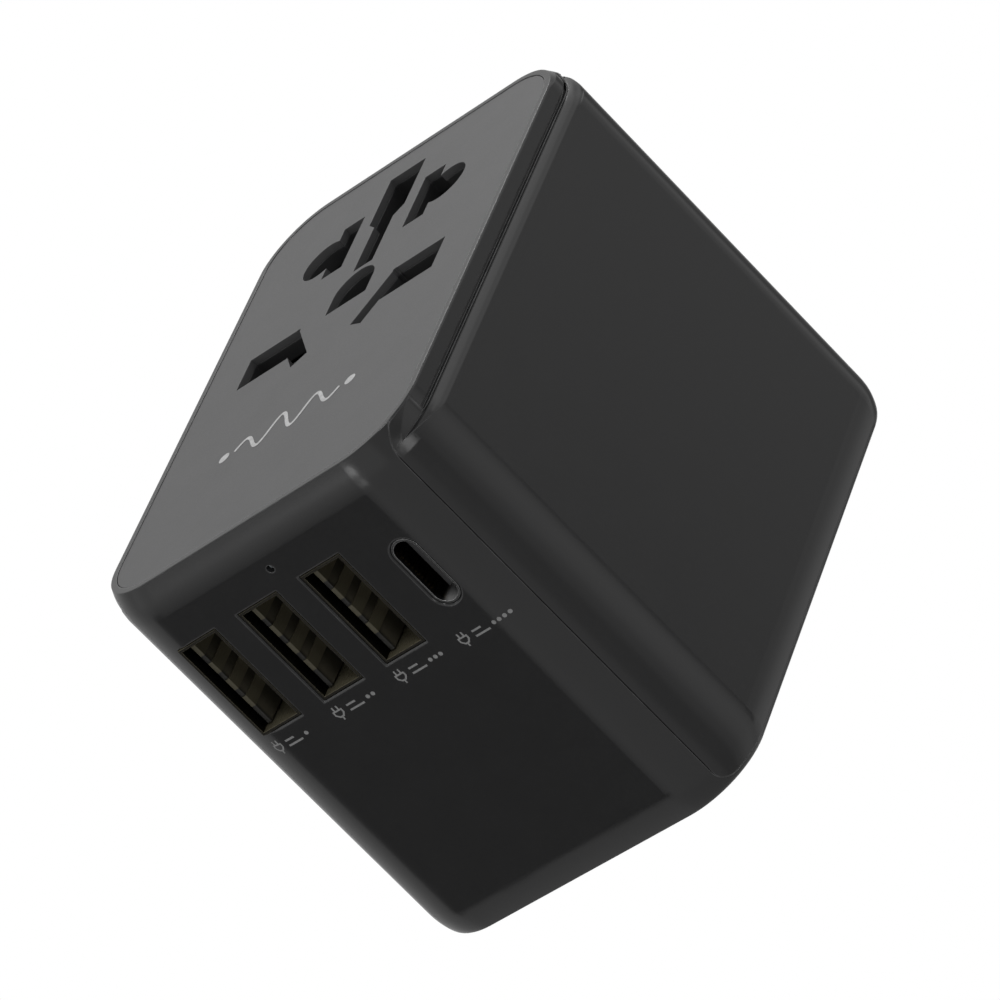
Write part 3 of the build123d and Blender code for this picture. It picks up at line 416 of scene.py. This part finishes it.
def printed(name, shapes, origin, right, up, ink, fall=None):
    """Thin layer of ink on a face, from flat outlines in millimetres."""
    out = right.cross(up)
    sheet = bmesh.new()
    for shape in shapes:
        places = [origin + (right * p.x + up * p.y) * MM + out * INK_T for p in shape]
        if fall:
            places = [place - out * fall(place.x) for place in places]
        sheet.faces.new([sheet.verts.new(place) for place in places])
    bmesh.ops.recalc_face_normals(sheet, faces=sheet.faces)
    for face in sheet.faces:
        if face.normal.dot(out) < 0:
            face.normal_flip()
    mesh = bpy.data.meshes.new(name)
    sheet.to_mesh(mesh)
    sheet.free()
    mark = bpy.data.objects.new(name, mesh)
    bpy.context.scene.collection.objects.link(mark)
    mesh.materials.append(ink)
    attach(mark, "housing")


def plug_icon(x, size, width):
    """Outline of a plug with two pins and a cord."""
    half = size / 2
    top, shoulder, bottom = half * 0.35, -half * 0.1, -half * 0.5
    wide, narrow = half * 0.6, half * 0.25
    body = [(x - wide, top), (x + wide, top), (x + wide, shoulder)]
    body += [(x + narrow, bottom), (x - narrow, bottom), (x - wide, shoulder)]
    icon = stroke(body, width, closed=True)
    for side in (-1, 1):
        icon += stroke([(x + side * wide / 2, top + width / 2), (x + side * wide / 2, half)], width)
    return icon + stroke([(x, bottom - width / 2), (x, -half)], width)


def wave_line(length, swing, turns, width):
    """Line of an alternating current, which swells towards its middle."""
    steps = 24 * turns
    points = []
    for index in range(steps + 1):
        share = index / steps
        rise = swing * math.sin(math.tau * turns * share) * (0.55 + 0.45 * math.sin(math.pi * share))
        points.append((length * (share - 0.5), rise))
    return stroke(points, width)


def print_emblem(ink):
    shapes = wave_line(EMBLEM_LENGTH, EMBLEM_SWING, EMBLEM_TURNS, EMBLEM_LINE)
    shapes += [disc((side * EMBLEM_DOT_X, 0.0), EMBLEM_DOT_R, 32) for side in (-1, 1)]
    printed("emblem_marks", shapes, EMBLEM_PLACE, Vector((1, 0, 0)), Vector((0, 1, 0)), ink)


def print_port_marks(ink):
    """Beside each port, a plug, a long and a short bar, and as many dots as its number."""
    for index, x in enumerate(PORT_XS):
        shapes = plug_icon(-2.6, 1.9, PORT_LINE)
        shapes += stroke([(-1.2, -0.35), (0.9, -0.35)], PORT_BAR)
        shapes += stroke([(-1.2, 0.35), (0.1, 0.35)], PORT_BAR)
        shapes += [disc((1.7 + 0.75 * count, 0.0), PORT_DOT_R) for count in range(index + 1)]
        place = Vector((x, PORT_SIDE, PORT_MARK_Z))
        name = f"port_{index + 1}_marks"
        printed(name, shapes, place, Vector((1, 0, 0)), Vector((0, 0, 1)), ink, corner_fall)


# ---- stage --------------------------------------------------------------------------------------
WHITE = (1, 1, 1, 1)
FLOOR_DROP = 60 * MM
FLOOR_REACH = 6.0


def plain_floor():
    """Pale floor under the longest pins. It is seen only from above."""
    mesh = bpy.data.meshes.new("floor")
    z = low.z - FLOOR_DROP
    corners = [(-1, -1), (1, -1), (1, 1), (-1, 1)]
    mesh.from_pydata([(x * FLOOR_REACH, y * FLOOR_REACH, z) for x, y in corners], [], [(0, 1, 2, 3)])
    floor = bpy.data.objects.new("floor", mesh)
    bpy.context.scene.collection.objects.link(floor)
    graph = Graph("pale_floor")
    top = graph.add("ShaderNodeEmission", {"Color": WHITE, "Strength": 1.0}).outputs[0]
    underside = graph.add("ShaderNodeBsdfTransparent").outputs[0]
    below = graph.add("ShaderNodeNewGeometry").outputs["Backfacing"]
    graph.feed(graph.tree.nodes["Material Output"].inputs[0], graph.mix_shaders(below, top, underside))
    mesh.materials.append(graph.material)
    floor.visible_glossy = False
    floor.visible_diffuse = False
    floor.visible_transmission = False
    floor.visible_shadow = False


# Studio surround. Its level is even but for a few areas, each given by the middle and half width of its
# bearing, turned from -Y towards +X, those of its height above the horizon, the softness of its edges and
# the change in level. Angles are in degrees.
EVEN_LEVEL = 0.5
AREAS = (
    ((-48, 15), (-20, 7.5), 2.5, -0.36),
    ((61, 14), (-15, 45), 5.0, -0.17),
    ((108, 16), (-15, 45), 10.0, 0.2),
    ((-25, 45), (13, 17), 6.0, 0.22),
    ((5, 33), (-18, 14), 4.0, 0.06),
    ((150, 14), (-18, 12), 8.0, -0.08),
    ((139, 4), (-24, 7), 1.5, -0.26),
    ((185, 15), (-25, 20), 6.0, -0.36),
    ((145, 22), (8, 14), 8.0, 0.3),
    ((-154, 6), (28, 5), 3.0, 3.2),
    ((-164, 6), (35.5, 3), 2.5, 5.0),
    ((165, 30), (32, 11), 6.0, 0.5),
    ((-66, 20), (50, 6), 4.0, 1.2),
    ((-28, 5.5), (8, 5.5), 3.0, 3.0),
    ((-26, 5), (-6, 3.5), 2.5, 1.6),
    ((56, 9), (0, 9), 6.0, 2.4),
    ((-143, 30), (16, 16), 8.0, 0.12),
)


def studio_world():
    """White surround to the camera. Surfaces mirror and take light from a dimmer, even one."""
    world = bpy.data.worlds.new("studio")
    bpy.context.scene.world = world
    world.use_nodes = True
    world.node_tree.nodes.clear()
    sky = Nodes(world.node_tree)

    def window(angle, span, soft, strength=1.0):
        """Level that is strength within a span, given by its middle and half width, and 0 outside it."""
        middle, half = span
        turned = sky.math("WRAP", sky.math("SUBTRACT", angle, math.radians(middle)), math.pi, -math.pi)
        away = sky.math("ABSOLUTE", turned)
        return sky.remap(away, math.radians(half + soft), math.radians(half - soft), 0.0, strength)

    facing = sky.add("ShaderNodeTexCoord").outputs["Generated"]
    x, y, z = sky.add("ShaderNodeSeparateXYZ", {0: facing}).outputs
    bearing = sky.math("ARCTAN2", x, sky.math("MULTIPLY", y, -1.0))
    rise = sky.math("ARCSINE", z)
    total = EVEN_LEVEL
    for bearing_span, height_span, soft, change in AREAS:
        across = window(bearing, bearing_span, soft, change)
        upward = window(rise, height_span, soft)
        total = sky.math("ADD", sky.math("MULTIPLY", across, upward), total)
    lit = sky.add("ShaderNodeBackground", {"Color": WHITE, "Strength": total}).outputs[0]
    seen = sky.add("ShaderNodeBackground", {"Color": WHITE, "Strength": 1.0}).outputs[0]
    by_camera = sky.add("ShaderNodeLightPath").outputs["Is Camera Ray"]
    sky.add("ShaderNodeOutputWorld", {0: sky.mix_shaders(by_camera, lit, seen)})


def soft_light(name, toward, distance, size, power):
    """Area light in a direction from the middle of the object, aimed back at it."""
    data = bpy.data.lights.new(name, "AREA")
    data.shape = "SQUARE"
    data.size = size
    data.energy = power
    light = bpy.data.objects.new(name, data)
    bpy.context.scene.collection.objects.link(light)
    toward = Vector(toward).normalized()
    place = Matrix.Translation((low + high) / 2 + toward * distance)
    light.matrix_world = place @ toward.to_track_quat("Z", "Y").to_matrix().to_4x4()


# Axes of the camera, and where it stands from the middle of the socket face.
CAMERA_RIGHT = Vector((0.6983, 0.2584, -0.6675))
CAMERA_UP = Vector((0.4212, 0.6057, 0.6752))
CAMERA_BACK = CAMERA_RIGHT.cross(CAMERA_UP)
CAMERA_FROM_FACE = Vector((413.8, -538.7, 198.0)) * MM
CAMERA_SENSOR, CAMERA_LENS = 36.0, 241.2


def make_camera():
    data = bpy.data.cameras.new("camera")
    data.sensor_width = CAMERA_SENSOR
    data.lens = CAMERA_LENS
    data.clip_start = 0.05
    data.clip_end = 20.0
    camera = bpy.data.objects.new("camera", data)
    bpy.context.scene.collection.objects.link(camera)
    turn = Matrix((CAMERA_RIGHT, CAMERA_UP, CAMERA_BACK)).transposed().to_4x4()
    camera.matrix_world = Matrix.Translation(CAMERA_FROM_FACE + Vector((0, 0, HEIGHT))) @ turn
    bpy.context.scene.camera = camera


print_emblem(printed_ink("pale_ink", (0.6, 0.6, 0.6)))
print_port_marks(printed_ink("grey_ink", (0.2, 0.2, 0.2)))
plain_floor()
studio_world()
soft_light("key", toward=(0.5, -0.32, 0.8), distance=0.9, size=0.22, power=1.6)
make_camera()
bpy.context.scene.view_settings.view_transform = "Standard"
